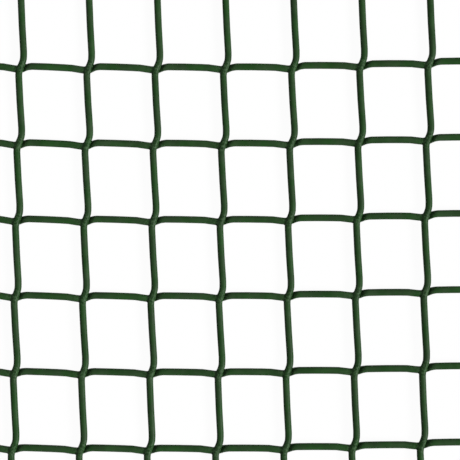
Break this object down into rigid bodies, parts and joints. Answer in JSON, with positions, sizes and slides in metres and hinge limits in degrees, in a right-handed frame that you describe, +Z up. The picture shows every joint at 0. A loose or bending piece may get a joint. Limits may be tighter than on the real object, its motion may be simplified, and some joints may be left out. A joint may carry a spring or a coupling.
{
  "type": "plastic garden mesh sheet",
  "caption": "Flat sheet of extruded square garden mesh: thin round strands fused where they cross, with a small sideways jog at each crossing.",
  "frame": {"origin": "middle of the sheet on the plane of its underside", "axes": "+Y along the lengthwise strands, +X along the cross strands, +Z up out of the face where the lengthwise strands stand proud"},
  "size_m": [0.5006, 1, 0.0026],
  "materials": {
    "green_plastic": "dark green polyethylene with the soft sheen of an extruded strand"
  },
  "bodies": {
    "root": {"mesh_section_1": "green_plastic", "mesh_section_2": "green_plastic", "mesh_section_3": "green_plastic", "mesh_section_4": "green_plastic", "mesh_section_5": "green_plastic"}
  },
  "joints": []
}
